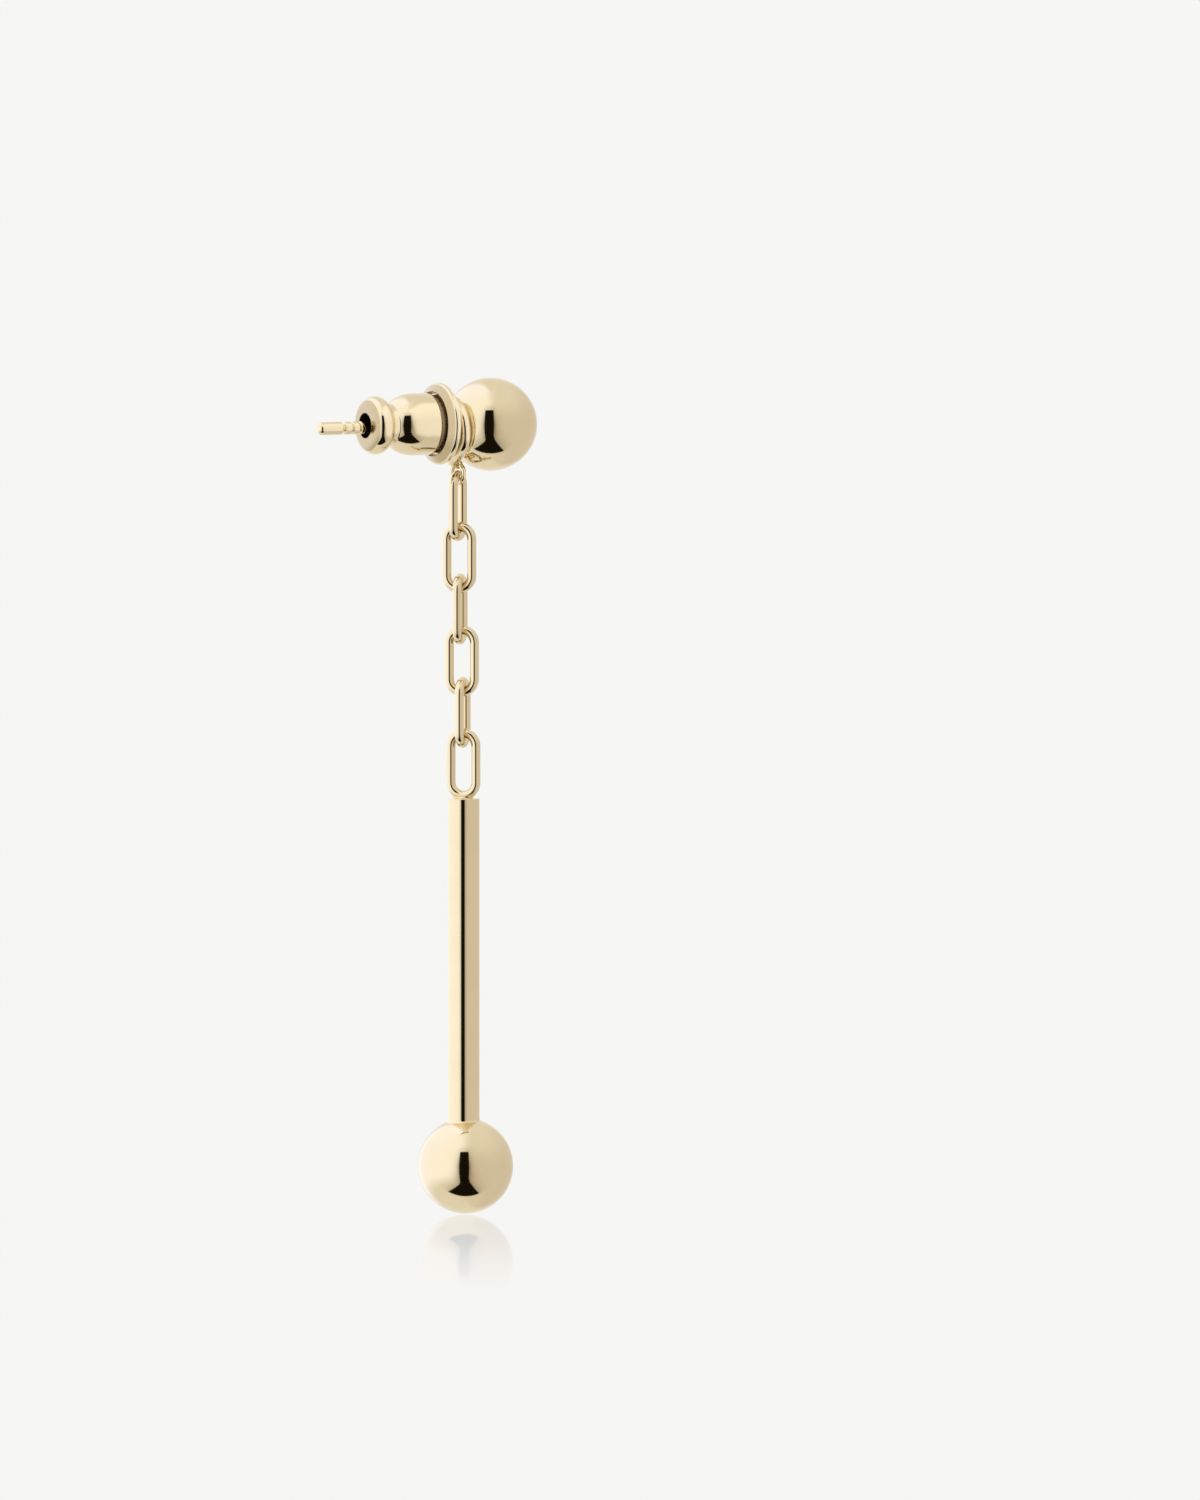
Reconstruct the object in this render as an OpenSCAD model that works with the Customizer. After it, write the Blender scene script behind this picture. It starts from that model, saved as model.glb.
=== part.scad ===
// A drop earring that hangs on an ear stud: ball, post and clutch above, then a hoop, a short chain, a bar and a ball.
// The origin is on the post's axis where the ear lobe begins, just behind the hoop.
// +Y runs back along the post to its tip, -Y faces out when worn, and +Z is up.

/* [Stud] */
// Diameter of the ball at the front of the stud
ball_d = 6.0; // [5:0.1:8]
// Diameter of the post
post_d = 0.84; // [0.7:0.01:0.95]
// Length of the post from the ear lobe to its tip
post_len = 9.3; // [8.6:0.01:12]
// Length of the smooth tip, beyond the grooves
tip_len = 1.7; // [1.2:0.05:2]
// Radius of the tip's rounded edge
tip_round = 0.34; // [0.2:0.01:0.35]
// Width of each groove in the post
groove_w = 0.2; // [0.1:0.01:0.25]
// Depth of each groove in the post
groove_depth = 0.14; // [0.05:0.01:0.16]
// Width of each ridge between the grooves
ridge_w = 0.34; // [0.2:0.01:0.4]

/* [Clutch] */
// Running gap between the clutch's bore and the post, on the radius
post_fit = 0.05; // [0.03:0.01:0.08]
// Height of the clutch's own axis above the post, as its grip lets it ride up
clutch_rise = 0.12; // [0:0.01:0.25]
// Length of the clutch from the front of its disc to its rear face
clutch_len = 5.72; // [5.4:0.01:6.5]
// Diameter of the disc
disc_d = 5.28; // [4.9:0.01:6]
// Thickness of the disc's rounded rim
disc_rim_t = 0.52; // [0.4:0.01:0.6]
// Height of the disc's raised lip over its front face
disc_h = 0.77; // [0.7:0.01:0.85]
// Outer diameter of the disc's raised lip
disc_lip_d = 4.24; // [4.16:0.01:4.4]
// Diameter of the well inside the lip
disc_well_d = 4.08; // [3.95:0.01:4.12]
// Thickness of the well's floor
disc_floor_t = 0.37; // [0.3:0.01:0.45]
// Diameter of the spigot that carries the disc
spigot_d = 2.4; // [2:0.01:3]
// Gap round the spigot and under the neck
disc_fit = 0.05; // [0.03:0.01:0.07]
// Diameter of the neck that stands in the well
neck_d = 3.7; // [3.4:0.01:3.8]
// Distance from the front of the disc to the front of the bullet
bullet_front = 1.04; // [0.95:0.01:1.2]
// Diameter of the bullet
bullet_d = 4; // [3.9:0.01:4.4]
// Radius of the bullet's rounded front edge
bullet_edge = 0.2; // [0.1:0.01:0.25]
// Length of the bullet's straight stretch
bullet_straight = 1.18; // [1:0.01:1.4]
// Radius of the arc along which the bullet narrows
bullet_arc_r = 2.5; // [2.3:0.05:3.2]
// Diameter of the waist between the bullet and the collar
waist_d = 2.72; // [2.4:0.01:3.2]
// Diameter of the collar
collar_d = 3.74; // [3.5:0.01:4]
// Thickness of the collar, whose edge is half round
collar_t = 1.46; // [0.8:0.01:1.6]
// Diameter of the hole in the collar's rear face
mouth_d = 1.5; // [1.4:0.01:1.8]
// Depth of the hole in the collar's rear face
mouth_depth = 1.6; // [1:0.1:2.5]

/* [Hoop] */
// Radius of the hoop, at the middle of its wire
hoop_r = 1.8; // [1.6:0.01:1.95]
// Diameter of the hoop's wire
hoop_wire = 0.78; // [0.6:0.01:0.86]
// Drop of the hoop's middle below the post
hoop_drop = 0.2; // [0.1:0.01:0.3]
// Lean of the hoop, its foot towards the ball, in degrees
hoop_lean = 4; // [2:0.5:5]
// Gap between the hoop and the ball
ball_gap = 0.045; // [0.03:0.005:0.08]
// Gap between the hoop and the clutch when it is pushed home
seat_gap = 0.14; // [0.04:0.01:0.2]
// Radius of the eye below the hoop, at the middle of its wire
eye_r = 0.6; // [0.58:0.01:0.7]
// Diameter of the eye's wire
eye_wire = 0.3; // [0.24:0.01:0.36]
// Height of the neck between the hoop's wire and the eye's wire
neck_h = 0.51; // [0.45:0.01:0.9]
// Turn of the eye about the plumb line, towards the first link's axis, in degrees
eye_turn = 10; // [8:1:36]
// Distance of the eye from the foot of the hoop, towards the ball
eye_set = 0.36; // [0.25:0.01:0.6]
// Radius of the neck at its top, in the hoop's wire
neck_top_r = 0.46; // [0.3:0.01:0.48]
// Distance of the neck's top below the middle of the hoop's wire
neck_sink = 0.25; // [0.2:0.01:0.3]
// Distance of the neck's top from the foot of the hoop, towards the ball
neck_set = 0.09; // [0:0.01:0.12]
// Radius of the neck where it meets the eye
neck_foot_r = 0.32; // [0.2:0.01:0.34]

/* [Chain] */
// Length of a link over its wire
link_len = 4.6; // [4.3:0.01:5.2]
// Width of a link over its wire
link_w = 2.24; // [2.2:0.01:2.6]
// Diameter of a link's wire
link_wire = 0.6; // [0.46:0.01:0.6]
// Gap between a link's wire and the wire that it hangs on
link_gap = 0.07; // [0.06:0.01:0.12]
// Turn of each link about the plumb line, in degrees from +X
link_turns = [129, 47, 137, 48, 135, 47]; // [0:1:180]
// Distance of each link from the plumb line, towards the ball, as the chain hangs a little askew
link_shifts = [0, 0.1, 0.16, 0.29, 0.35, 0.4]; // [0:0.01:0.5]

/* [Drop] */
// Diameter of the bar
bar_d = 2.08; // [1.8:0.01:2.6]
// Length of the bar from its flat top to the ball
bar_len = 20.8; // [12:0.1:30]
// Diameter of the ball at the foot of the bar
drop_ball_d = 6.16; // [5:0.02:8]
// Distance of that ball's centre from the bar's axis
drop_ball_set = 0.16; // [0:0.01:0.3]
// Depth to which the last link is soldered into the bar's top
solder_sink = 0.1; // [0.05:0.01:0.15]

/* [Hidden] */
$fn = 96;
GOLD = [0.86, 0.74, 0.52];
PALE_GOLD = [0.9, 0.79, 0.58];

ball_r = ball_d / 2;
post_r = post_d / 2;
groove_count = 3;

// The hoop leans against the back of the ball.
hoop_wire_r = hoop_wire / 2;
hoop_top_z = hoop_r * cos(hoop_lean) - hoop_drop;
hoop_top_from_ball = sqrt(pow(ball_r + hoop_wire_r + ball_gap, 2) - pow(hoop_top_z, 2));
seat_from_ball = hoop_top_from_ball + hoop_wire_r + seat_gap / 2;
ball_y = -seat_from_ball;
hoop_y = ball_y + hoop_top_from_ball - hoop_r * sin(hoop_lean);

// The clutch is measured from the front face of its disc.
disc_y = seat_gap / 2;
disc_r = disc_d / 2;
disc_rim_r = disc_rim_t / 2;
disc_lip_r = disc_lip_d / 2;
collar_r = collar_d / 2;
collar_edge = collar_t / 2;
collar_mid = clutch_len - collar_edge;
bullet_r = bullet_d / 2;
arc_mid = bullet_front + bullet_straight;

// The chain hangs from the eye.
foot_y = hoop_y - hoop_r * sin(hoop_lean);
foot_z = -hoop_drop - hoop_r * cos(hoop_lean);
chain_y = foot_y - eye_set;
eye_z = foot_z - neck_h - eye_r;
link_mid_r = (link_w - link_wire) / 2;
link_straight = link_len - link_w;
link_reach = (link_len - link_wire) / 2;
link_pitch = link_len - 2 * link_wire - link_gap;
first_link_z = eye_z - eye_r + eye_wire / 2 + link_gap + link_wire / 2 - link_reach;

// The bar and its ball follow the last link.
last_link_z = first_link_z - (len(link_turns) - 1) * link_pitch;
bar_top_z = last_link_z - link_len / 2 + solder_sink;
drop_ball_r = drop_ball_d / 2;
bar_r = bar_d / 2;
bar_y = chain_y - link_shifts[len(link_turns) - 1];
drop_ball_z = bar_top_z - bar_len - sqrt(pow(drop_ball_r, 2) - pow(bar_r, 2));

// Turns a profile of radius and distance along +Y about the Y axis.
module turned() {
    rotate([-90, 0, 0]) rotate_extrude() children();
}

// The side of a profile that a lathe can turn.
module positive_side() {
    intersection() {
        children();
        translate([0, -50]) square([50, 100]);
    }
}

// A round rod between two points in the YZ plane, which may taper.
module rod(from, to, from_r, to_r) {
    step = to - from;
    translate(from)
        rotate([atan2(-step[1], step[2]), 0, 0])
            cylinder(h = norm(step), r1 = from_r, r2 = to_r);
}

module post_profile() {
    tip_from = post_len - tip_len;
    difference() {
        translate([0, ball_y]) square([post_r, post_len - tip_round - ball_y]);
        for (i = [1 : groove_count])
            translate([post_r - groove_depth, tip_from - i * groove_w - (i - 1) * ridge_w])
                square([post_r, groove_w]);
    }
    square([post_r - tip_round, post_len]);
    positive_side() translate([post_r - tip_round, post_len - tip_round]) circle(r = tip_round);
}

module ball_stud() {
    color(GOLD) union() {
        translate([0, ball_y, 0]) sphere(d = ball_d);
        turned() post_profile();
    }
}

module disc_profile() {
    rim_at = disc_r - disc_rim_r;
    to_lip = [disc_lip_r - rim_at, disc_h - disc_rim_r];
    tangent = atan2(to_lip[1], to_lip[0]) - acos(disc_rim_r / norm(to_lip));
    difference() {
        union() {
            square([rim_at, disc_rim_r]);
            translate([rim_at, disc_rim_r]) circle(r = disc_rim_r);
            polygon([
                [0, disc_rim_r / 2],
                [rim_at, disc_rim_r / 2],
                [rim_at + disc_rim_r * cos(tangent), disc_rim_r * (1 + sin(tangent))],
                [disc_lip_r, disc_h],
                [0, disc_h]
            ]);
        }
        translate([0, disc_floor_t]) square([disc_well_d / 2, disc_h]);
        translate([0, -disc_h]) square([spigot_d / 2 + disc_fit, 2 * disc_h]);
    }
}

module clutch_disc() {
    color(PALE_GOLD) translate([0, disc_y, clutch_rise]) turned() disc_profile();
}

module clutch_profile() {
    square([spigot_d / 2, bullet_front]);
    translate([0, disc_floor_t + disc_fit])
        square([neck_d / 2, arc_mid - disc_floor_t - disc_fit]);
    translate([0, bullet_front]) square([bullet_r - bullet_edge, bullet_edge]);
    translate([0, bullet_front + bullet_edge]) square([bullet_r, bullet_straight - bullet_edge]);
    translate([bullet_r - bullet_edge, bullet_front + bullet_edge]) circle(r = bullet_edge);
    intersection() {
        translate([bullet_r - bullet_arc_r, arc_mid]) circle(r = bullet_arc_r);
        translate([0, arc_mid]) square([bullet_r, collar_mid - arc_mid]);
    }
    translate([0, arc_mid]) square([waist_d / 2, collar_mid - arc_mid]);
    translate([0, collar_mid - collar_edge]) square([collar_r - collar_edge, collar_t]);
    translate([collar_r - collar_edge, collar_mid]) circle(r = collar_edge);
}

module clutch_body() {
    color(GOLD) difference() {
        translate([0, disc_y, clutch_rise]) turned() clutch_profile();
        translate([0, disc_y - 1, 0]) rotate([-90, 0, 0]) cylinder(h = clutch_len + 2, r = post_r + post_fit);
        translate([0, disc_y + clutch_len - mouth_depth, clutch_rise])
            rotate([-90, 0, 0]) cylinder(h = mouth_depth + 1, d = mouth_d);
    }
}

module hanger_hoop() {
    neck_top = [0, foot_y - neck_set, foot_z - neck_sink];
    eye_top = [0, chain_y, eye_z + eye_r];
    color(PALE_GOLD) union() {
        translate([0, hoop_y, -hoop_drop]) rotate([-hoop_lean, 0, 0])
            turned() translate([hoop_r, 0]) circle(r = hoop_wire_r);
        rod(neck_top, eye_top, neck_top_r, neck_foot_r);
        translate([0, chain_y, eye_z]) rotate([0, 0, eye_turn])
            turned() translate([eye_r, 0]) circle(r = eye_wire / 2);
    }
}

// A link of round wire, standing upright with its width along X.
module wire_link() {
    for (half = [0, 1])
        mirror([0, 0, half])
            translate([0, 0, link_straight / 2])
                rotate([90, 0, 0]) rotate_extrude(angle = 180) translate([link_mid_r, 0]) circle(d = link_wire);
    for (side = [-1, 1])
        translate([side * link_mid_r, 0, -link_straight / 2])
            cylinder(h = link_straight, d = link_wire);
}

// The link with this number, counted down from the eye.
module chain_link(number) {
    translate([0, chain_y - link_shifts[number - 1], first_link_z - (number - 1) * link_pitch])
        rotate([0, 0, link_turns[number - 1]])
            wire_link();
}

module loose_link(number) {
    color(PALE_GOLD) chain_link(number);
}

module bar_drop() {
    color(GOLD) union() {
        chain_link(len(link_turns));
        translate([0, bar_y, drop_ball_z]) cylinder(h = bar_top_z - drop_ball_z, d = bar_d);
        translate([0, bar_y - drop_ball_set, drop_ball_z]) sphere(d = drop_ball_d);
    }
}

ball_stud();
clutch_body();
clutch_disc();
hanger_hoop();
loose_link(1);  // link_1
loose_link(2);  // link_2
loose_link(3);  // link_3
loose_link(4);  // link_4
loose_link(5);  // link_5
bar_drop();
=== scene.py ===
"""Looks of a drop earring in pale gold: its fine shapes, metal finishes, studio and camera."""

import math

import bmesh
import bpy
import numpy as np
from mathutils import Matrix, Vector


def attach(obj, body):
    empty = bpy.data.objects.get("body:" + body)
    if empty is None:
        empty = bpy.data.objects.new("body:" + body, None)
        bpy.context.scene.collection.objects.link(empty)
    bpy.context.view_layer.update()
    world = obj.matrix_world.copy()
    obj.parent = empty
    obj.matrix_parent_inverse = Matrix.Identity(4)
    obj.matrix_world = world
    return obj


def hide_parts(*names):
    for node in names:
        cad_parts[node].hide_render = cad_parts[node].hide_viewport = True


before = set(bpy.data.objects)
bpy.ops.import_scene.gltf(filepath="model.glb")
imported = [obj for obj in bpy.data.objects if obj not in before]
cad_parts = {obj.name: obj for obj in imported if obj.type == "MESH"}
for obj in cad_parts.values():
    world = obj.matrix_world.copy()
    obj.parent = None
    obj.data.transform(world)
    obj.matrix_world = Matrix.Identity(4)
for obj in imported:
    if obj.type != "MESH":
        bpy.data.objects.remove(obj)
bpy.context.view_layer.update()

# Lengths below are in millimetres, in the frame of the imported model, and MM brings them to metres.
MM = 0.001

# Stud
BALL_R = 3.0
POST_R = 0.42
POST_LEN = 9.3
TIP_LEN = 1.7
TIP_ROUND = 0.34
RIDGE_W = 0.44
GROOVE_SIZES = ((0.13, 0.11), (0.13, 0.11), (0.25, 0.17))
GROOVE_LIP = 0.02
STUD_SOLDER = 0.2

# Clutch
BORE_R = 0.47
BORE_EDGE = 0.04
CLUTCH_RISE = 0.12
CLUTCH_LEN = 5.72
DISC_R = 2.64
DISC_RIM_R = 0.26
DISC_H = 0.77
LIP_R = 2.12
WELL_R = 2.04
FLOOR_T = 0.37
SPIGOT_R = 1.2
DISC_FIT = 0.05
NECK_R = 1.85
NECK_RIDGES = 110
NECK_RIDGE_DEPTH = 0.02
BULLET_FRONT = 1.04
BULLET_R = 2.0
BULLET_EDGE = 0.2
BULLET_STRAIGHT = 1.18
BULLET_ARC_R = 2.5
WAIST_R = 1.36
COLLAR_R = 1.87
COLLAR_T = 1.46
MOUTH_R = 0.75
MOUTH_DEPTH = 1.6
COLLAR_FROM_DEG = 158
FINE_EDGE = 0.03
SOFT_EDGE = 0.06

# Hoop and eye
HOOP_R = 1.8
HOOP_WIRE_R = 0.39
HOOP_DROP = 0.2
HOOP_LEAN = math.radians(4)
BALL_GAP = 0.045
SEAT_GAP = 0.14
EYE_R = 0.6
EYE_WIRE_R = 0.15
NECK_H = 0.51
EYE_TURN = math.radians(10)
EYE_SET = 0.36
NECK_TOP_R = 0.46
NECK_SINK = 0.25
NECK_SET = 0.09
NECK_FOOT_R = 0.32
NECK_SOLDER = 0.2
EYE_SOLDER = 0.08

# Chain
LINK_LEN = 4.6
LINK_W = 2.24
LINK_WIRE_R = 0.3
LINK_GAP = 0.07
LINK_TURNS = (129, 47, 137, 48, 135, 47)
LINK_SHIFTS = (0, 0.1, 0.16, 0.29, 0.35, 0.4)

# Drop
BAR_R = 1.04
BAR_LEN = 20.8
BAR_EDGE = 0.05
DROP_BALL_R = 3.08
DROP_BALL_SET = 0.16
DROP_SOLDER = 0.14
SOLDER_SINK = 0.1
MOUND_R = 0.8
MOUND_H = 0.25
MOUND_SINK = 0.13
MOUND_SOLDER = 0.16

# Where the pieces stand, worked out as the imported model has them
HOOP_TOP_Z = HOOP_R * math.cos(HOOP_LEAN) - HOOP_DROP
HOOP_TOP_FROM_BALL = math.sqrt((BALL_R + HOOP_WIRE_R + BALL_GAP) ** 2 - HOOP_TOP_Z ** 2)
BALL_Y = -(HOOP_TOP_FROM_BALL + HOOP_WIRE_R + SEAT_GAP / 2)
HOOP_Y = BALL_Y + HOOP_TOP_FROM_BALL - HOOP_R * math.sin(HOOP_LEAN)
FOOT_Y = HOOP_Y - HOOP_R * math.sin(HOOP_LEAN)
FOOT_Z = -HOOP_DROP - HOOP_R * math.cos(HOOP_LEAN)
DISC_Y = SEAT_GAP / 2
CHAIN_Y = FOOT_Y - EYE_SET
BAR_Y = CHAIN_Y - LINK_SHIFTS[-1]
EYE_Z = FOOT_Z - NECK_H - EYE_R
LINK_REACH = LINK_LEN / 2 - LINK_WIRE_R
LINK_PITCH = LINK_LEN - 4 * LINK_WIRE_R - LINK_GAP
FIRST_LINK_Z = EYE_Z - EYE_R + EYE_WIRE_R + LINK_GAP + LINK_WIRE_R - LINK_REACH
LAST_LINK_Z = FIRST_LINK_Z - (len(LINK_TURNS) - 1) * LINK_PITCH
BAR_TOP_Z = LAST_LINK_Z - LINK_LEN / 2 + SOLDER_SINK
DROP_BALL_Z = BAR_TOP_Z - BAR_LEN - math.sqrt(DROP_BALL_R ** 2 - BAR_R ** 2)

# Mesh fineness
ROUND_STEPS = 160
WIRE_STEPS = 32
EDGE_STEPS = 6
BALL_STEPS = 90
BULLET_STEPS = 40
RIM_STEPS = 20
TIP_STEPS = 12
COLLAR_STEPS = 30
CELL = 0.045
SETTLE_STEPS = 4
MARGIN = 0.2


# Outlines for turned pieces: points of distance along the axis and radius

def arc(centre, radius, start, end, steps):
    """Points on an arc from one angle to another, in degrees."""
    points = []
    for i in range(steps + 1):
        angle = math.radians(start + (end - start) * i / steps)
        points.append((centre[0] + radius * math.cos(angle), centre[1] + radius * math.sin(angle)))
    return points


def rounded(corners):
    """Points along straight runs through corners of (along, out, radius), each rounded to its radius."""
    points = [corners[0][:2]]
    for before, here, after in zip(corners, corners[1:], corners[2:]):
        corner = Vector(here[:2])
        back = (Vector(before[:2]) - corner).normalized()
        ahead = (Vector(after[:2]) - corner).normalized()
        half = back.angle(ahead) / 2
        centre = corner + (back + ahead).normalized() * (here[2] / math.sin(half))
        start = corner + back * (here[2] / math.tan(half)) - centre
        turn = math.copysign(math.pi - 2 * half, start.x * ahead.y - start.y * ahead.x)
        for i in range(EDGE_STEPS + 1):
            spoke = Matrix.Rotation(turn * i / EDGE_STEPS, 2) @ start
            points.append(tuple(centre + spoke))
    points.append(corners[-1][:2])
    return points


def held(points, run=0.16, margin=0.035):
    """The same outline with extra points near the ends of long straight runs, which keep them flat."""
    kept = [points[0]]
    for here, after in zip(points, points[1:]):
        start, end = Vector(here), Vector(after)
        length = (end - start).length
        if length > run:
            step = (end - start) * (margin / length)
            kept.append(tuple(start + step))
            kept.append(tuple(end - step))
        kept.append(after)
    return kept


# Rings of points, which a loft joins into a mesh

def around_y(outline, front, height, steps=ROUND_STEPS, ripple=None):
    """Rings for an outline turned about a line along +Y at this height, from the place called front."""
    angles = np.linspace(0, 2 * math.pi, steps, endpoint=False)
    rings = []
    for along, out in outline:
        if out < 1e-6:
            rings.append(np.array([(0.0, front + along, height)]))
            continue
        radius = np.full(steps, out)
        if ripple:
            radius = radius - ripple(along, angles)
        level = np.full(steps, front + along)
        rings.append(np.column_stack((radius * np.cos(angles), level, height + radius * np.sin(angles))))
    return rings


def loft(rings, closed=False):
    """Points and faces of the skin over these rings. A ring of one point is a pole."""
    points = np.concatenate(rings)
    starts = np.cumsum([0] + [len(ring) for ring in rings])
    pairs = list(zip(range(len(rings)), range(1, len(rings))))
    if closed:
        pairs.append((len(rings) - 1, 0))
    faces = []
    for a, b in pairs:
        count = max(len(rings[a]), len(rings[b]))
        for i in range(count):
            j = (i + 1) % count
            corners = []
            for ring, spot in ((a, i), (a, j), (b, j), (b, i)):
                corner = int(starts[ring]) + (spot if len(rings[ring]) > 1 else 0)
                if corner not in corners:
                    corners.append(corner)
            faces.append(corners)
    return points, faces


def joined(*shells):
    """Several skins as one list of points and faces."""
    points, faces, first = [], [], 0
    for shell_points, shell_faces in shells:
        points.append(shell_points)
        faces += [[corner + first for corner in face] for face in shell_faces]
        first += len(shell_points)
    return np.concatenate(points), faces


def piece(name, skin, body, nodes, material):
    """A smooth-shaded object from a skin in millimetres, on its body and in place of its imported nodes."""
    points, faces = skin
    mesh = bpy.data.meshes.new(name)
    mesh.from_pydata((points * MM).tolist(), [], faces)
    work = bmesh.new()
    work.from_mesh(mesh)
    bmesh.ops.recalc_face_normals(work, faces=work.faces)
    work.to_mesh(mesh)
    work.free()
    mesh.shade_smooth()
    mesh.materials.append(material)
    made = bpy.data.objects.new(name, mesh)
    bpy.context.scene.collection.objects.link(made)
    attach(made, body)
    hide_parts(*nodes)
    return made


# Soldered wire: a distance function whose zero is the metal's skin, and the mesh that wraps it

def ring_distance(p, centre, normal, radius, wire_r):
    """Distance from points to a ring of round wire."""
    offset = p - centre
    height = offset @ normal
    spread = np.linalg.norm(offset - height[:, None] * normal, axis=1)
    return np.hypot(spread - radius, height) - wire_r


def rod_distance(p, start, end, start_r, end_r):
    """Distance from points to a tapered rod with round ends."""
    step = end - start
    share = np.clip((p - start) @ step / (step @ step), 0, 1)
    nearest = start + share[:, None] * step
    return np.linalg.norm(p - nearest, axis=1) - (start_r + share * (end_r - start_r))


def link_distance(p, centre, turn):
    """Distance from points to a link's wire, which follows two straights and two half circles."""
    across = (p[:, 0] - centre[0]) * math.cos(turn) + (p[:, 1] - centre[1]) * math.sin(turn)
    depth = (p[:, 1] - centre[1]) * math.cos(turn) - (p[:, 0] - centre[0]) * math.sin(turn)
    half = (LINK_LEN - LINK_W) / 2
    above = np.maximum(np.abs(p[:, 2] - centre[2]) - half, 0)
    spread = np.hypot(across, above)
    return np.hypot(spread - (LINK_W / 2 - LINK_WIRE_R), depth) - LINK_WIRE_R


def melted(a, b, reach):
    """Two distances flowed together, with a fillet about as wide as reach."""
    share = np.clip(0.5 + 0.5 * (b - a) / reach, 0, 1)
    return b + (a - b) * share - reach * share * (1 - share)


def wrapped(distance, low, high, cell=CELL):
    """The skin where a distance function is zero, with one point in each cell that it crosses."""
    low, high = np.array(low), np.array(high)
    counts = np.ceil((high - low) / cell).astype(int) + 1
    axes = [low[k] + cell * np.arange(counts[k]) for k in range(3)]
    grid = np.stack(np.meshgrid(*axes, indexing="ij"), axis=-1)
    value = distance(grid.reshape(-1, 3)).reshape(grid.shape[:3])
    total = np.zeros(tuple(counts - 1) + (3,))
    crossings = np.zeros(tuple(counts - 1))
    cuts = {}
    for axis in range(3):
        near = [slice(None)] * 3
        far = [slice(None)] * 3
        near[axis] = slice(0, -1)
        far[axis] = slice(1, None)
        first, second = value[tuple(near)], value[tuple(far)]
        cut = (first < 0) != (second < 0)
        share = np.where(cut, first / np.where(cut, first - second, 1), 0)
        place = grid[tuple(near)].copy()
        place[..., axis] += share * cell
        cuts[axis] = (cut, first < 0)
        others = [k for k in range(3) if k != axis]
        for u in (0, 1):
            for v in (0, 1):
                part = [slice(None)] * 3
                part[others[0]] = slice(u, counts[others[0]] - 1 + u)
                part[others[1]] = slice(v, counts[others[1]] - 1 + v)
                hit = cut[tuple(part)]
                total += np.where(hit[..., None], place[tuple(part)], 0)
                crossings += hit
    used = crossings > 0
    number = np.full(used.shape, -1)
    number[used] = np.arange(used.sum())
    points = total[used] / crossings[used][:, None]
    faces = []
    for axis in range(3):
        cut, inside = cuts[axis]
        b, c = (axis + 1) % 3, (axis + 2) % 3
        for spot in np.argwhere(cut):
            corners = []
            for u, v in ((0, 0), (1, 0), (1, 1), (0, 1)):
                cell_at = spot.copy()
                cell_at[b] -= u
                cell_at[c] -= v
                corners.append(int(number[tuple(cell_at)]))
            faces.append(corners if inside[tuple(spot)] else corners[::-1])
    for _ in range(SETTLE_STEPS):
        points = points - fall(distance, points)
    return points, faces


def fall(distance, points, nudge=1e-4):
    """The step from each point to the skin of a distance function."""
    value = distance(points)
    slope = np.empty_like(points)
    for axis in range(3):
        shift = np.zeros(3)
        shift[axis] = nudge
        slope[:, axis] = (distance(points + shift) - distance(points - shift)) / (2 * nudge)
    return slope * (value / np.maximum((slope ** 2).sum(axis=1), 1e-9))[:, None]


# Metal finishes

def add_node(tree, kind, **values):
    """A node with its properties set."""
    made = tree.nodes.new(kind)
    for key, value in values.items():
        setattr(made, key, value)
    return made


def noise(tree, coordinates, scale, detail=2.0):
    """The value of a noise texture with features of about 1 / scale metres."""
    made = add_node(tree, "ShaderNodeTexNoise")
    made.inputs["Scale"].default_value = scale
    made.inputs["Detail"].default_value = detail
    tree.links.new(coordinates, made.inputs["Vector"])
    return made.outputs["Fac"]


class Sums:
    """Short forms for arithmetic nodes."""

    def __init__(self, tree):
        self.tree = tree

    def do(self, operation, *inputs):
        """The result of one operation on numbers or sockets."""
        made = add_node(self.tree, "ShaderNodeMath", operation=operation)
        for socket, value in zip(made.inputs, inputs):
            if isinstance(value, (int, float)):
                socket.default_value = value
            else:
                self.tree.links.new(value, socket)
        return made.outputs[0]

    def along(self, direction, axis):
        """How far a vector reaches along an axis."""
        made = add_node(self.tree, "ShaderNodeVectorMath", operation="DOT_PRODUCT")
        self.tree.links.new(direction, made.inputs[0])
        made.inputs[1].default_value = axis
        return made.outputs["Value"]

    def ramp(self, value, start, end):
        """0 before start and 1 after end, eased at both."""
        made = add_node(self.tree, "ShaderNodeMapRange", interpolation_type="SMOOTHSTEP")
        self.tree.links.new(value, made.inputs["Value"])
        made.inputs["From Min"].default_value = start
        made.inputs["From Max"].default_value = end
        return made.outputs["Result"]

    def mix(self, share, first, second):
        """The first colour at share 0 and the second at share 1."""
        made = add_node(self.tree, "ShaderNodeMix", data_type="RGBA")
        sockets = (made.inputs["Factor"], made.inputs[6], made.inputs[7])
        for socket, value in zip(sockets, (share, first, second)):
            if isinstance(value, tuple):
                socket.default_value = (*value, 1)
            else:
                self.tree.links.new(value, socket)
        return made.outputs[2]


CLOUD_SCALE = 450
CLOUD_SPAN = (0.35, 0.65)
WEAR_SCALE = 1400
WEAR_SPAN = (0.3, 0.7)
MARK_SCALES = (9000, 2600, 1200)
MARK_TURN = (0.5, 0.3, 0.2)
MARK_DEPTH = 2e-6


def zone_share(sums, along, start, end, edge=0.02):
    """1 between two places along the post, in millimetres, and 0 outside them."""
    after = sums.ramp(along, (start - edge) * MM, (start + edge) * MM)
    before = sums.ramp(along, (end - edge) * MM, (end + edge) * MM)
    return sums.do("SUBTRACT", after, before)


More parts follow.
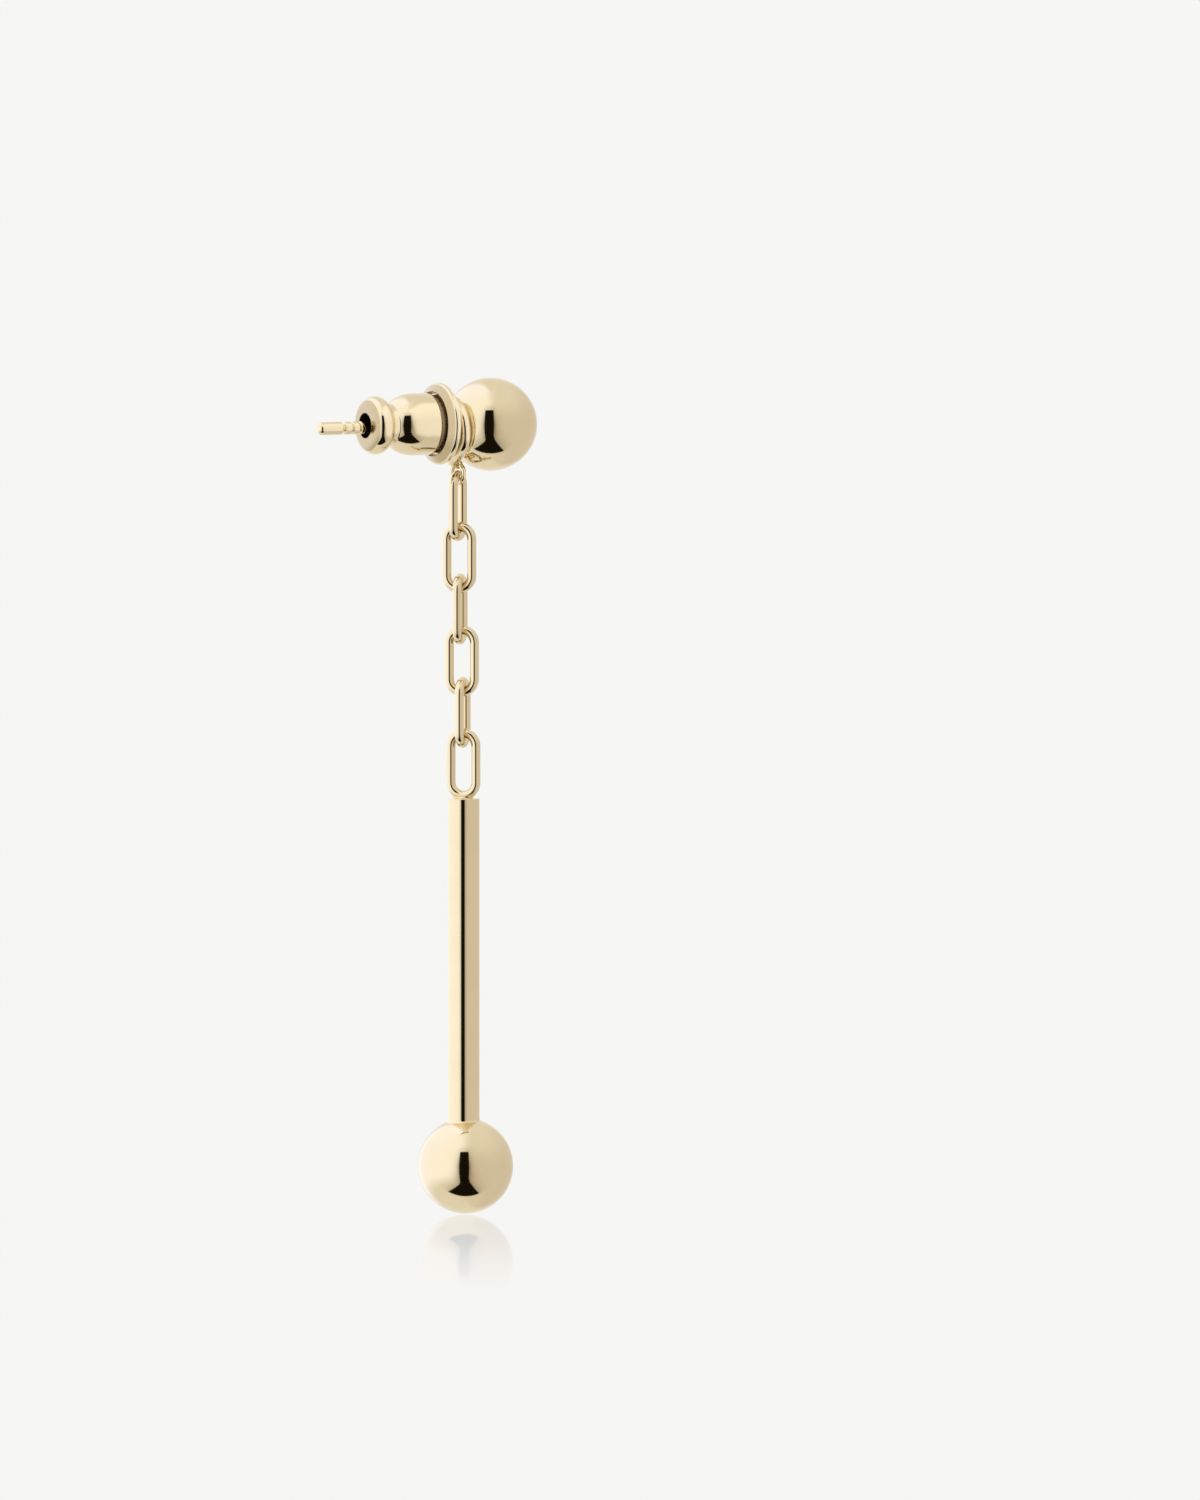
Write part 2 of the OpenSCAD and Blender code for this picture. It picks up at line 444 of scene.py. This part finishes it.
def polished_metal(name, deep, pale, smooth, worn, scratch, zones=()):
    """Polished plate: two close tones in soft clouds, fine polishing marks and a slightly uneven gloss.

    Each zone is a stretch along the post with a roughness of its own, as a lathe leaves it, and a tone of
    its own; the darker zone tones are painted shade.
    """
    material = bpy.data.materials.new(name)
    material.use_nodes = True
    tree = material.node_tree
    shader = tree.nodes["Principled BSDF"]
    shader.inputs["Metallic"].default_value = 1.0
    place = add_node(tree, "ShaderNodeTexCoord").outputs["Object"]

    tone = add_node(tree, "ShaderNodeValToRGB")
    for stop, position, value in zip(tone.color_ramp.elements, CLOUD_SPAN, (deep, pale)):
        stop.position = position
        stop.color = (*value, 1)
    tree.links.new(noise(tree, place, CLOUD_SCALE, 4), tone.inputs["Fac"])
    color = tone.outputs["Color"]

    gloss = add_node(tree, "ShaderNodeMapRange")
    gloss.inputs["From Min"].default_value = WEAR_SPAN[0]
    gloss.inputs["From Max"].default_value = WEAR_SPAN[1]
    gloss.inputs["To Min"].default_value = smooth
    gloss.inputs["To Max"].default_value = worn
    tree.links.new(noise(tree, place, WEAR_SCALE, 6), gloss.inputs["Value"])
    rough = gloss.outputs["Result"]

    sums = Sums(tree)
    for start, end, zone_tone, zone_rough in zones:
        share = zone_share(sums, sums.along(place, (0, 1, 0)), start, end)
        color = sums.mix(share, color, zone_tone)
        rough = sums.do("MULTIPLY_ADD", share, sums.do("SUBTRACT", zone_rough, rough), rough)
    tree.links.new(color, shader.inputs["Base Color"])
    tree.links.new(rough, shader.inputs["Roughness"])

    marks = add_node(tree, "ShaderNodeMapping")
    marks.inputs["Scale"].default_value = MARK_SCALES
    marks.inputs["Rotation"].default_value = MARK_TURN
    tree.links.new(place, marks.inputs["Vector"])
    relief = add_node(tree, "ShaderNodeBump")
    relief.inputs["Strength"].default_value = scratch
    relief.inputs["Distance"].default_value = MARK_DEPTH
    tree.links.new(noise(tree, marks.outputs["Vector"], 1, 3), relief.inputs["Height"])
    tree.links.new(relief.outputs["Normal"], shader.inputs["Normal"])
    return material


DEEP_GOLD = (0.79, 0.655, 0.41)
BRIGHT_GOLD = (0.81, 0.675, 0.43)
PAD_GOLD = (0.96, 0.9, 0.74)
# Painted shade: a darker gold on the collar's turned rear face and the disc's slope, standing in for the
# duller light these faces mirror
PAINTED_FACE_SHADE = (0.55, 0.43, 0.24)
SHADED_GOLD = (0.42, 0.3, 0.16)
PAD_ROUGH = 0.3
TURNED_ROUGH = 0.2
NECK_ROUGH = 0.4
FACE_DEPTH = 0.2
SLOPE_FROM = 0.47
PAST_END = 1
clutch_end = DISC_Y + CLUTCH_LEN
# Clutch zones: painted shade on the neck in the disc's well, and painted shade on the collar's turned rear
# face
clutch_zones = (
    (DISC_Y + FLOOR_T, DISC_Y + BULLET_FRONT, SHADED_GOLD, NECK_ROUGH),
    (clutch_end - FACE_DEPTH, clutch_end + PAST_END, PAINTED_FACE_SHADE, TURNED_ROUGH),
)
# Disc zones: a pale front face, and painted shade on the slope
disc_zones = (
    (DISC_Y - PAST_END, DISC_Y + FACE_DEPTH, PAD_GOLD, PAD_ROUGH),
    (DISC_Y + SLOPE_FROM, DISC_Y + DISC_H + PAST_END, PAINTED_FACE_SHADE, TURNED_ROUGH),
)
ball_gold = polished_metal("ball_gold", DEEP_GOLD, BRIGHT_GOLD, 0.06, 0.08, 0.02)
clutch_gold = polished_metal("clutch_gold", DEEP_GOLD, BRIGHT_GOLD, 0.06, 0.09, 0.03, clutch_zones)
disc_gold = polished_metal("disc_gold", DEEP_GOLD, BRIGHT_GOLD, 0.06, 0.09, 0.03, disc_zones)
wire_gold = polished_metal("wire_gold", DEEP_GOLD, BRIGHT_GOLD, 0.05, 0.08, 0.04)


# Ball stud

def stud_outline():
    """The ball and its solder fillet, which ends on the post."""
    blend = STUD_SOLDER
    meet = BALL_Y + math.sqrt(BALL_R ** 2 - (POST_R + blend) ** 2)
    meet_angle = math.degrees(math.atan2(POST_R + blend, meet - BALL_Y))
    points = arc((BALL_Y, 0), BALL_R, 180, meet_angle, BALL_STEPS)
    points[0] = (points[0][0], 0.0)
    corner = Vector((BALL_Y + math.sqrt(BALL_R ** 2 - POST_R ** 2), POST_R))
    start, end = Vector(points[-1]), corner + Vector((blend, 0))
    for i in range(1, EDGE_STEPS):
        share = i / EDGE_STEPS
        points.append(tuple(start.lerp(corner, share).lerp(corner.lerp(end, share), share)))
    points.append(tuple(end))
    points.append((end.x, 0.0))
    return held(points)


def post_outline():
    """The post with its grooves and rounded tip, from inside the fillet."""
    start = BALL_Y + BALL_R
    run = [(start, POST_R, 0)]
    taken = sum(width for width, _ in GROOVE_SIZES) + (len(GROOVE_SIZES) - 1) * RIDGE_W
    at = POST_LEN - TIP_LEN - taken
    for width, depth in GROOVE_SIZES:
        run.append((at - GROOVE_LIP, POST_R, FINE_EDGE))
        run.append((at + 0.35 * width, POST_R - depth, GROOVE_LIP))
        run.append((at + 0.65 * width, POST_R - depth, GROOVE_LIP))
        run.append((at + width + GROOVE_LIP, POST_R, FINE_EDGE))
        at += width + RIDGE_W
    run.append((POST_LEN - TIP_ROUND, POST_R, 0.01))
    points = [(start, 0.0)] + rounded(run)[:-1]
    points += arc((POST_LEN - TIP_ROUND, POST_R - TIP_ROUND), TIP_ROUND, 90, 0, TIP_STEPS)
    points.append((POST_LEN, 0.0))
    return held(points)


piece("stud_ball", loft(around_y(stud_outline(), 0, 0)),
      "stud", ["ball_stud"], ball_gold)
post = piece("stud_post", loft(around_y(post_outline(), 0, 0)),
             "stud", ["ball_stud"], ball_gold)


# Clutch

def disc_outline():
    """The pad disc's section: flat front, rounded rim, slope, lip, well and the hole for the spigot."""
    hole = SPIGOT_R + DISC_FIT
    middle = (DISC_R - DISC_RIM_R, DISC_RIM_R)
    reach = Vector((LIP_R - middle[0], DISC_H - middle[1]))
    tangent = math.atan2(reach.y, reach.x) - math.acos(DISC_RIM_R / reach.length)
    rim = arc((middle[1], middle[0]), DISC_RIM_R, 180, 90 - math.degrees(tangent), RIM_STEPS)
    front = rounded([(FLOOR_T / 2, hole, 0), (0, hole, 0.05), (0, middle[0] - 0.01, 0)])
    inner = rounded([
        rim[-1] + (0,),
        (DISC_H, LIP_R, FINE_EDGE),
        (DISC_H, WELL_R, FINE_EDGE),
        (FLOOR_T, WELL_R, SOFT_EDGE),
        (FLOOR_T, hole, 0.05),
        (FLOOR_T / 2, hole, 0),
    ])
    return held(front + rim + inner[1:-1])


def clutch_outline():
    """The outside of the clutch, from the spigot's front edge to the mouth's rounded edge."""
    collar_edge = COLLAR_T / 2
    collar_mid = CLUTCH_LEN - collar_edge
    arc_mid = BULLET_FRONT + BULLET_STRAIGHT
    narrow = (arc_mid, BULLET_R - BULLET_ARC_R)
    waist_angle = math.degrees(math.asin((WAIST_R - narrow[1]) / BULLET_ARC_R))
    neck_from = FLOOR_T + DISC_FIT
    points = rounded([
        (0, BORE_R + 0.3, 0),
        (0, SPIGOT_R, SOFT_EDGE),
        (neck_from, SPIGOT_R, 0.04),
        (neck_from, NECK_R, 0.08),
        (BULLET_FRONT, NECK_R, 0.04),
        (BULLET_FRONT, BULLET_R, BULLET_EDGE),
        (arc_mid, BULLET_R, 0),
    ])[:-1]
    points += arc(narrow, BULLET_ARC_R, 90, waist_angle, BULLET_STEPS)
    collar = arc((collar_mid, COLLAR_R - collar_edge), collar_edge, COLLAR_FROM_DEG, 0, COLLAR_STEPS)
    waist_end = Vector(points[-1])
    start = Vector(collar[0])
    dip = Vector(((waist_end.x + start.x) / 2, WAIST_R - 0.02))
    for i in range(1, EDGE_STEPS + 2):
        share = i / (EDGE_STEPS + 2)
        points.append(tuple(waist_end.lerp(dip, share).lerp(dip.lerp(start, share), share)))
    points += collar
    points += rounded([
        (CLUTCH_LEN, COLLAR_R - collar_edge - 0.02, 0),
        (CLUTCH_LEN, MOUTH_R, SOFT_EDGE),
        (CLUTCH_LEN - MOUTH_DEPTH, MOUTH_R, 0),
    ])
    return held(points)


def neck_ripple(along, angles):
    """Fine lengthwise ridges on the neck that stands in the disc's well."""
    inside = FLOOR_T + DISC_FIT + 0.1 < along < BULLET_FRONT - 0.02
    if not inside:
        return 0.0
    return NECK_RIDGE_DEPTH * (0.5 - 0.5 * np.cos(NECK_RIDGES * angles))


def clutch_rings():
    """The clutch's outside, its mouth and then the bore, which is centred on the post."""
    steps = NECK_RIDGES * 4
    rings = around_y(clutch_outline(), DISC_Y, CLUTCH_RISE, steps, neck_ripple)
    bore_end = CLUTCH_LEN - MOUTH_DEPTH
    bore = [(bore_end, BORE_R + BORE_EDGE), (bore_end - BORE_EDGE, BORE_R)]
    bore += [(SOFT_EDGE, BORE_R), (0, BORE_R + SOFT_EDGE)]
    rings += around_y(bore, DISC_Y, 0, steps)
    return rings


pad_disc = piece("clutch_pad_disc", loft(around_y(disc_outline(), DISC_Y, CLUTCH_RISE), closed=True),
                 "clutch", ["clutch_disc"], disc_gold)
bullet = piece("clutch_bullet", loft(clutch_rings(), closed=True),
               "clutch", ["clutch_body"], clutch_gold)


# Hoop, neck and eye

def hoop_distance(p):
    """Distance to the hoop, the neck below it and the eye."""
    normal = np.array((0, math.cos(HOOP_LEAN), -math.sin(HOOP_LEAN)))
    hoop = ring_distance(p, np.array((0, HOOP_Y, -HOOP_DROP)), normal, HOOP_R, HOOP_WIRE_R)
    neck_top = np.array((0, FOOT_Y - NECK_SET, FOOT_Z - NECK_SINK))
    eye = np.array((0, CHAIN_Y, EYE_Z))
    neck = rod_distance(p, neck_top, eye + np.array((0, 0, EYE_R)), NECK_TOP_R, NECK_FOOT_R)
    eye_normal = np.array((-math.sin(EYE_TURN), math.cos(EYE_TURN), 0))
    loop = ring_distance(p, eye, eye_normal, EYE_R, EYE_WIRE_R)
    return melted(melted(hoop, neck, NECK_SOLDER), loop, EYE_SOLDER)


hoop_low = (-HOOP_R - HOOP_WIRE_R - 0.1, CHAIN_Y - 0.4, EYE_Z - EYE_R - 0.3)
hoop_high = (HOOP_R + HOOP_WIRE_R + 0.1, 0.1, HOOP_R + HOOP_WIRE_R)
hoop_and_eye = piece("hoop_and_eye", wrapped(hoop_distance, hoop_low, hoop_high),
                     "hanger", ["hanger_hoop"], wire_gold)


# Chain

def link_rings(number):
    """Rings of wire round the link with this number, counted down from the eye."""
    centre_z = FIRST_LINK_Z - (number - 1) * LINK_PITCH
    turn = math.radians(LINK_TURNS[number - 1])
    across = np.array((math.cos(turn), math.sin(turn), 0))
    depth = np.array((-math.sin(turn), math.cos(turn), 0))
    up = np.array((0, 0, 1))
    mid_r = LINK_W / 2 - LINK_WIRE_R
    half = (LINK_LEN - LINK_W) / 2
    route = []
    for side in (1, -1):
        for i in range(WIRE_STEPS + 1):
            angle = math.pi * i / WIRE_STEPS
            out = side * (across * math.cos(angle) + up * math.sin(angle))
            route.append((side * half * up + mid_r * out, out))
        for share in (0.04, 0.35, 0.65, 0.96):
            out = -side * across
            route.append((side * half * up * (1 - 2 * share) + mid_r * out, out))
    angles = np.linspace(0, 2 * math.pi, WIRE_STEPS, endpoint=False)
    centre = np.array((0, CHAIN_Y - LINK_SHIFTS[number - 1], centre_z))
    rings = []
    for middle, out in route:
        wire = np.outer(np.cos(angles), out) + np.outer(np.sin(angles), depth)
        rings.append(centre + middle + LINK_WIRE_R * wire)
    return rings


for number in range(1, len(LINK_TURNS)):
    piece(f"chain_link_{number}", loft(link_rings(number), closed=True),
          "hanger", [f"link_{number}"], wire_gold)


# Bar, its ball and the last link

def bar_rings():
    """The flat-topped bar, a small solder fillet and the ball, from the top down."""
    angles = np.linspace(0, 2 * math.pi, ROUND_STEPS, endpoint=False)
    around = np.column_stack((np.cos(angles), np.sin(angles), np.zeros(ROUND_STEPS)))
    axis = np.array((0, BAR_Y, 0))
    up = np.array((0, 0, 1))
    top = held(rounded([(0, 0, 0), (0, BAR_R, BAR_EDGE), (-1, BAR_R, 0)]))[1:-1]
    rings = [axis[None, :] + BAR_TOP_Z * up]
    for drop, out in top:
        rings.append(axis + around * out + (BAR_TOP_Z + drop) * up)
    middle = np.array((0, BAR_Y - DROP_BALL_SET, DROP_BALL_Z))
    out = around * BAR_R + np.array((0, DROP_BALL_SET, 0))
    spread = np.linalg.norm(out, axis=1)
    heading = out / spread[:, None]
    join = out + np.outer(np.sqrt(DROP_BALL_R ** 2 - spread ** 2), up)
    start = join + DROP_SOLDER * up
    first_angle = np.arcsin(spread / DROP_BALL_R) + DROP_SOLDER / DROP_BALL_R

    def on_ball(angle):
        return DROP_BALL_R * (heading * np.sin(angle)[:, None] + np.outer(np.cos(angle), up))

    end = on_ball(first_angle)
    rings.append(middle + start + 0.04 * up)
    for i in range(EDGE_STEPS):
        share = i / EDGE_STEPS
        near = start * (1 - share) + join * share
        far = join * (1 - share) + end * share
        rings.append(middle + near * (1 - share) + far * share)
    for i in range(BALL_STEPS):
        rings.append(middle + on_ball(first_angle + (math.pi - first_angle) * i / BALL_STEPS))
    rings.append((middle - DROP_BALL_R * up)[None, :])
    return rings


def last_link_distance(p):
    """Distance to the last link and the low mound of solder that holds it on the bar's flat top."""
    turn = math.radians(LINK_TURNS[-1])
    link = link_distance(p, (0, BAR_Y, LAST_LINK_Z), turn)
    from_axis = np.hypot(p[:, 0], p[:, 1] - BAR_Y)
    slab_mid = BAR_TOP_Z - MOUND_SINK
    slab = np.maximum(from_axis - MOUND_R, np.abs(p[:, 2] - slab_mid) - MOUND_H / 2)
    return melted(link, slab, MOUND_SOLDER)


link_side = LINK_W / 2 + MARGIN
link_low = (-link_side, BAR_Y - link_side, BAR_TOP_Z - 2 * MARGIN)
link_high = (link_side, BAR_Y + link_side, LAST_LINK_Z + LINK_LEN / 2 + MARGIN)
drop_skin = joined(loft(bar_rings()), wrapped(last_link_distance, link_low, link_high))
piece("bar_and_ball", drop_skin, "drop", ["bar_drop"], ball_gold)


# Studio: light from all round as a world, and a pale floor with a faint reflection

PHOTO_AZIMUTH = math.radians(240)
PHOTO_ELEVATION = math.radians(3.2)
TO_CAMERA = Vector((math.sin(PHOTO_AZIMUTH), -math.cos(PHOTO_AZIMUTH), 0))
TO_RIGHT = Vector((math.cos(PHOTO_AZIMUTH), math.sin(PHOTO_AZIMUTH), 0))
BACKDROP = (0.922, 0.922, 0.905)
LEFT_WALL = (1.22, 1.26, 1.4)
FAR_LEFT = (1.24, 1.31, 1.6)
RIGHT_WALL = (0.775, 0.75, 0.74)
CEILING = (0.925, 0.925, 0.93)
TABLE_LEFT = (0.91, 0.92, 0.93)
TABLE_RIGHT = (0.84, 0.82, 0.81)
SLOT_DARK = (0.009, 0.007, 0.003)
SLOT_FADE = (0.08, 0.05, 0.008)

# Spans over which one tone turns into the next: degrees of azimuth or height, or shares where under 1
FAR_LEFT_SPAN = (40, 125)
TABLE_LEFT_SPAN = (15, 42)
CEILING_SPAN = (0, 60)
TABLE_RIGHT_SPAN = (50, 75)
SEAM_SPAN = (-0.22, 0.22)
BEHIND_SPAN = (150, 172)
SLOT_SOFT = 0.4
SLOT_FOOT_SPAN = (0.25, 0.28)
SLOT_TOP_SPAN = (0.765, 0.79)

# Each side of the gap: its least reach, its reach and growth over the table, and where that growth begins
RIGHT_SLOT = (0.15, 0.3, 0.2, 1.3)
LEFT_SLOT = (0.262, 0.36, 0.4, 1.1)

# The soft shade beside the gap, wider low down and fainter away from the horizon
FADE_WIDTH = 6.5
FADE_GROWTH = 0.3
FADE_EVEN_TO = 5
FADE_DEPTH = 0.85
FADE_LOSS_BELOW = -0.0075
FADE_LOSS_ABOVE = -0.0182
FADE_FOOT_SPAN = (0.15, 0.4)

PANEL_AZIMUTH = math.radians(62)
PANEL_RISE = math.radians(17)


def slot_edge(sums, steep, over_table, least, reach, growth, growth_from):
    """The azimuth in degrees where the gap ends on one side."""
    widen = sums.do("MAXIMUM", sums.do("SUBTRACT", growth_from, over_table), 0)
    edge = sums.do("MULTIPLY", steep, sums.do("MULTIPLY_ADD", widen, growth, reach))
    edge = sums.do("MINIMUM", sums.do("MAXIMUM", least, edge), 1)
    return sums.do("DEGREES", sums.do("ARCSINE", edge))


def build_world():
    """Two big reflectors with the camera's dark gap between them, as the metal mirrors them."""
    world = bpy.data.worlds.new("studio")
    world.use_nodes = True
    bpy.context.scene.world = world
    tree = world.node_tree
    tree.nodes.clear()
    sums = Sums(tree)
    direction = add_node(tree, "ShaderNodeTexCoord").outputs["Generated"]
    right = sums.along(direction, TO_RIGHT)
    near = sums.along(direction, TO_CAMERA)
    up = sums.along(direction, (0, 0, 1))
    flat = sums.do("ADD", sums.do("POWER", right, 2), sums.do("POWER", near, 2))
    level = sums.do("MAXIMUM", sums.do("SQRT", flat), 0.001)
    azimuth = sums.do("DEGREES", sums.do("ARCTAN2", right, near))
    height = sums.do("DEGREES", sums.do("ARCTAN2", up, level))
    below = sums.do("MAXIMUM", sums.do("MULTIPLY", height, -1), 0)
    steep = sums.do("DIVIDE", sums.do("MAXIMUM", sums.do("MULTIPLY", up, -1), 0), level)

    leftward = sums.do("MULTIPLY", azimuth, -1)
    left = sums.mix(sums.ramp(leftward, *FAR_LEFT_SPAN), LEFT_WALL, FAR_LEFT)
    left = sums.mix(sums.ramp(below, *TABLE_LEFT_SPAN), left, TABLE_LEFT)
    wall = sums.mix(sums.ramp(height, *CEILING_SPAN), RIGHT_WALL, CEILING)
    wall = sums.mix(sums.ramp(below, *TABLE_RIGHT_SPAN), wall, TABLE_RIGHT)
    light = sums.mix(sums.ramp(right, *SEAM_SPAN), left, wall)
    behind = sums.ramp(sums.do("ABSOLUTE", azimuth), *BEHIND_SPAN)
    light = sums.mix(behind, light, BACKDROP)

    over_table = sums.do("DIVIDE", near, sums.do("MAXIMUM", sums.do("MULTIPLY", up, -1), 0.001))
    over_table = sums.do("ADD", over_table, sums.do("MULTIPLY", sums.do("GREATER_THAN", up, 0), 10))
    right_edge = slot_edge(sums, steep, over_table, *RIGHT_SLOT)
    left_edge = slot_edge(sums, steep, over_table, *LEFT_SLOT)
    past_right = sums.do("SUBTRACT", azimuth, right_edge)
    past_left = sums.do("SUBTRACT", leftward, left_edge)
    outside = sums.do("MAXIMUM", past_right, past_left)

    top = sums.do("DIVIDE", up, sums.do("MAXIMUM", near, 0.001))
    lower = sums.do("MAXIMUM", sums.do("SUBTRACT", below, FADE_EVEN_TO), 0)
    fade_width = sums.do("MULTIPLY_ADD", lower, FADE_GROWTH, FADE_WIDTH)
    fade_depth = sums.do("MULTIPLY_ADD", below, FADE_LOSS_BELOW, FADE_DEPTH)
    above = sums.do("MAXIMUM", height, 0)
    fade_depth = sums.do("MULTIPLY", fade_depth, sums.do("MULTIPLY_ADD", above, FADE_LOSS_ABOVE, 1))
    fade_depth = sums.do("MAXIMUM", fade_depth, 0)
    inward = sums.do("MULTIPLY", sums.do("MAXIMUM", outside, 0), -1)
    fade = sums.do("EXPONENT", sums.do("DIVIDE", inward, fade_width))
    fade = sums.do("MULTIPLY", fade, fade_depth)
    fade = sums.do("MULTIPLY", fade, sums.ramp(over_table, *FADE_FOOT_SPAN))
    light = sums.mix(fade, light, SLOT_FADE)

    slot = sums.ramp(sums.do("MULTIPLY", outside, -1), -SLOT_SOFT, SLOT_SOFT)
    slot = sums.do("MULTIPLY", slot, sums.ramp(over_table, *SLOT_FOOT_SPAN))
    slot = sums.do("MULTIPLY", slot, sums.do("SUBTRACT", 1, sums.ramp(top, *SLOT_TOP_SPAN)))
    light = sums.mix(slot, light, SLOT_DARK)

    seen = add_node(tree, "ShaderNodeLightPath").outputs["Is Camera Ray"]
    light = sums.mix(seen, light, BACKDROP)
    background = add_node(tree, "ShaderNodeBackground")
    tree.links.new(light, background.inputs["Color"])
    output = add_node(tree, "ShaderNodeOutputWorld")
    tree.links.new(background.outputs["Background"], output.inputs["Surface"])


def build_floor():
    """A pale floor just under the ball, glossy only near the spot where the ball almost touches it."""
    radius = 0.6
    gap = 0.03
    reach = 0.08
    most = 0.35
    roughness = 0.04
    mesh = bpy.data.meshes.new("floor")
    work = bmesh.new()
    bmesh.ops.create_circle(work, cap_ends=True, radius=radius, segments=96)
    work.to_mesh(mesh)
    work.free()
    floor = bpy.data.objects.new("floor", mesh)
    floor.location = (0, (BAR_Y - DROP_BALL_SET) * MM, (DROP_BALL_Z - DROP_BALL_R - gap) * MM)
    floor.visible_glossy = False
    floor.visible_diffuse = False
    bpy.context.scene.collection.objects.link(floor)
    material = bpy.data.materials.new("floor_acrylic")
    material.use_nodes = True
    tree = material.node_tree
    tree.nodes.clear()
    sums = Sums(tree)
    place = add_node(tree, "ShaderNodeTexCoord").outputs["Object"]
    far = add_node(tree, "ShaderNodeVectorMath", operation="LENGTH")
    tree.links.new(place, far.inputs[0])
    sheen = sums.do("SUBTRACT", 1, sums.ramp(far.outputs["Value"], 0, reach))
    sheen = sums.do("MULTIPLY", sheen, most)
    glow = add_node(tree, "ShaderNodeEmission")
    glow.inputs["Color"].default_value = (*BACKDROP, 1)
    mirror = add_node(tree, "ShaderNodeBsdfGlossy")
    mirror.inputs["Color"].default_value = (1, 1, 1, 1)
    mirror.inputs["Roughness"].default_value = roughness
    both = add_node(tree, "ShaderNodeMixShader")
    tree.links.new(sheen, both.inputs["Fac"])
    tree.links.new(glow.outputs["Emission"], both.inputs[1])
    tree.links.new(mirror.outputs["BSDF"], both.inputs[2])
    output = add_node(tree, "ShaderNodeOutputMaterial")
    tree.links.new(both.outputs["Shader"], output.inputs["Surface"])
    mesh.materials.append(material)


def build_panel(lit):
    """A soft panel on the camera's right, which only the given pieces reflect."""
    width = 0.8
    tall = 1.1
    away = 0.3
    soft = 0.22
    glow = (0.32, 0.345, 0.44)
    data = bpy.data.lights.new("right_panel", "AREA")
    data.shape = "RECTANGLE"
    data.size = width
    data.size_y = tall
    data.energy = math.pi * width * tall
    data.color = glow
    data.use_nodes = True
    tree = data.node_tree
    sums = Sums(tree)
    spot = add_node(tree, "ShaderNodeNewGeometry").outputs["Parametric"]
    share = 1
    for axis in ((1, 0, 0), (0, 1, 0)):
        along = sums.along(spot, axis)
        share = sums.do("MULTIPLY", share, sums.ramp(along, 0, soft))
        share = sums.do("MULTIPLY", share, sums.ramp(sums.do("SUBTRACT", 1, along), 0, soft))
    tree.links.new(share, tree.nodes["Emission"].inputs["Strength"])
    panel = bpy.data.objects.new("right_panel", data)
    facing = TO_CAMERA * math.cos(PANEL_AZIMUTH) + TO_RIGHT * math.sin(PANEL_AZIMUTH)
    facing = facing * math.cos(PANEL_RISE) + Vector((0, 0, math.sin(PANEL_RISE)))
    panel.rotation_euler = facing.to_track_quat("Z", "Y").to_euler()
    panel.location = facing * away
    panel.visible_camera = False
    bpy.context.scene.collection.objects.link(panel)
    group = bpy.data.collections.new("lit_by_panel")
    for made in lit:
        group.objects.link(made)
    panel.light_linking.receiver_collection = group


build_world()
build_floor()
build_panel((bullet, pad_disc, hoop_and_eye, post))
bpy.context.scene.view_settings.view_transform = "Standard"


# Camera: a long lens at the photograph's angle, with the stud's ball at its place in the picture

PHOTO_W = 1200
PHOTO_H = 1500
STUD_IN_PHOTO = (490.7, 424.2)
PX_PER_MM = 15.55
LENS = 800
SENSOR = 36

distance = LENS / SENSOR * PHOTO_H / PX_PER_MM
back = TO_CAMERA * math.cos(PHOTO_ELEVATION) + Vector((0, 0, math.sin(PHOTO_ELEVATION)))
upward = back.cross(TO_RIGHT)
shift_right = (STUD_IN_PHOTO[0] - PHOTO_W / 2) / PX_PER_MM
shift_up = (PHOTO_H / 2 - STUD_IN_PHOTO[1]) / PX_PER_MM
stand = Vector((0, BALL_Y, 0)) - TO_RIGHT * shift_right - upward * shift_up + back * distance
camera_data = bpy.data.cameras.new("camera")
camera_data.lens = LENS
camera_data.sensor_width = SENSOR
camera_data.clip_start = 0.01
camera_data.clip_end = 10
camera = bpy.data.objects.new("camera", camera_data)
axes = Matrix((TO_RIGHT, upward, back)).transposed()
camera.matrix_world = Matrix.Translation(stand * MM) @ axes.to_4x4()
bpy.context.scene.collection.objects.link(camera)
bpy.context.scene.camera = camera
